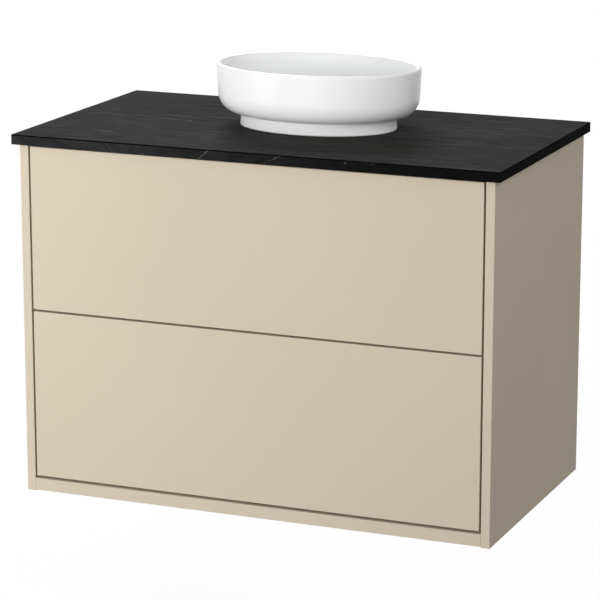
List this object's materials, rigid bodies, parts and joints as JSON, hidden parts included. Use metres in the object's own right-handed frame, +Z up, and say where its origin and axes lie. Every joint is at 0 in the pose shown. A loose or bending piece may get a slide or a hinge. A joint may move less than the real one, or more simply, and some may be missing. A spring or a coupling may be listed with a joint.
{
  "type": "vanity unit",
  "caption": "Wall-hung bathroom vanity: beige drawer cabinet with flush push-to-open fronts, black marble top and a white oval bowl on a low foot.",
  "frame": {"origin": "centre of the four wall-fixing holes, on the wall plane at the back of the cabinet", "axes": "+X to the right along the wall, +Y into the wall, +Z up; the drawers open along -Y"},
  "size_m": [0.9, 0.535, 0.7599],
  "materials": {
    "beige_foil": "satin beige foil on board",
    "rail_board": "beige foil on board, bare edges",
    "drawer_board": "matt grey-beige foil on board",
    "black_marble": "honed black marble with fine pale veins",
    "white_ceramic": "white glaze",
    "chrome": "polished chrome",
    "brass": "plain machined brass",
    "seal_rubber": "black rubber",
    "trap_plastic": "white moulded plastic",
    "grey_plastic": "grey moulded plastic",
    "zinc_steel": "bright zinc plate"
  },
  "bodies": {
    "carcass": {"basin": "white_ceramic", "bottom_panel": "beige_foil", "cam_bolts": "zinc_steel", "cam_locks": "zinc_steel", "countertop": "black_marble", "hanging_rail": "rail_board", "lower_back_rail": "rail_board", "lower_cabinet_rail_left": "zinc_steel", "lower_cabinet_rail_right": "zinc_steel", "lower_push_unit_left": "grey_plastic", "lower_push_unit_right": "grey_plastic", "lower_wall_plates": "zinc_steel", "outlet_pipe": "trap_plastic", "plate_screws": "zinc_steel", "rail_screws": "zinc_steel", "side_panel_left": "beige_foil", "side_panel_right": "beige_foil", "top_rail": "rail_board", "trap_bottle": "trap_plastic", "trap_cup": "trap_plastic", "trap_inlet_nut": "trap_plastic", "trap_outlet_nut": "trap_plastic", "trap_pipe": "trap_plastic", "trap_top_nut": "trap_plastic", "upper_cabinet_rail_left": "zinc_steel", "upper_cabinet_rail_right": "zinc_steel", "upper_push_unit_left": "grey_plastic", "upper_push_unit_right": "grey_plastic", "upper_wall_plates": "zinc_steel", "wall_rosette": "chrome", "waste_body": "chrome", "waste_bottom_seal": "seal_rubber", "waste_locknut": "brass", "waste_top_seal": "seal_rubber"},
    "lower_drawer": {"lower_drawer_back": "drawer_board", "lower_drawer_bottom": "drawer_board", "lower_drawer_front": "beige_foil", "lower_drawer_front_screws": "zinc_steel", "lower_drawer_inner_front": "drawer_board", "lower_drawer_rail_clips": "grey_plastic", "lower_drawer_rail_left": "zinc_steel", "lower_drawer_rail_right": "zinc_steel", "lower_drawer_side_left": "drawer_board", "lower_drawer_side_right": "drawer_board"},
    "lower_middle_rail_left": {"lower_middle_rail_left": "zinc_steel"},
    "lower_middle_rail_right": {"lower_middle_rail_right": "zinc_steel"},
    "plug": {"plug_seal": "seal_rubber", "waste_plug": "chrome"},
    "upper_drawer": {"upper_drawer_back": "drawer_board", "upper_drawer_bottom": "drawer_board", "upper_drawer_front": "beige_foil", "upper_drawer_front_screws": "zinc_steel", "upper_drawer_inner_front": "drawer_board", "upper_drawer_rail_clips": "grey_plastic", "upper_drawer_rail_left": "zinc_steel", "upper_drawer_rail_right": "zinc_steel", "upper_drawer_side_left": "drawer_board", "upper_drawer_side_right": "drawer_board"},
    "upper_middle_rail_left": {"upper_middle_rail_left": "zinc_steel"},
    "upper_middle_rail_right": {"upper_middle_rail_right": "zinc_steel"}
  },
  "joints": [
    {"name": "upper_drawer_slide", "type": "slide", "parent": "carcass", "child": "upper_drawer", "axis": [0, -1, 0], "range_m": [-0.003, 0.33]},
    {"name": "upper_middle_rail_left_slide", "type": "slide", "parent": "carcass", "child": "upper_middle_rail_left", "axis": [0, -1, 0], "range_m": [-0.0015, 0.165]},
    {"name": "upper_middle_rail_right_slide", "type": "slide", "parent": "carcass", "child": "upper_middle_rail_right", "axis": [0, -1, 0], "range_m": [-0.0015, 0.165]},
    {"name": "lower_drawer_slide", "type": "slide", "parent": "carcass", "child": "lower_drawer", "axis": [0, -1, 0], "range_m": [-0.003, 0.33]},
    {"name": "lower_middle_rail_left_slide", "type": "slide", "parent": "carcass", "child": "lower_middle_rail_left", "axis": [0, -1, 0], "range_m": [-0.0015, 0.165]},
    {"name": "lower_middle_rail_right_slide", "type": "slide", "parent": "carcass", "child": "lower_middle_rail_right", "axis": [0, -1, 0], "range_m": [-0.0015, 0.165]},
    {"name": "plug_lift", "type": "slide", "parent": "carcass", "child": "plug", "axis": [0, 0, 1], "range_m": [0, 0.008]}
  ],
  "couplings": [
    {"joint": "upper_middle_rail_left_slide", "follows": "upper_drawer_slide", "ratio": 0.5},
    {"joint": "upper_middle_rail_right_slide", "follows": "upper_drawer_slide", "ratio": 0.5},
    {"joint": "lower_middle_rail_left_slide", "follows": "lower_drawer_slide", "ratio": 0.5},
    {"joint": "lower_middle_rail_right_slide", "follows": "lower_drawer_slide", "ratio": 0.5}
  ]
}
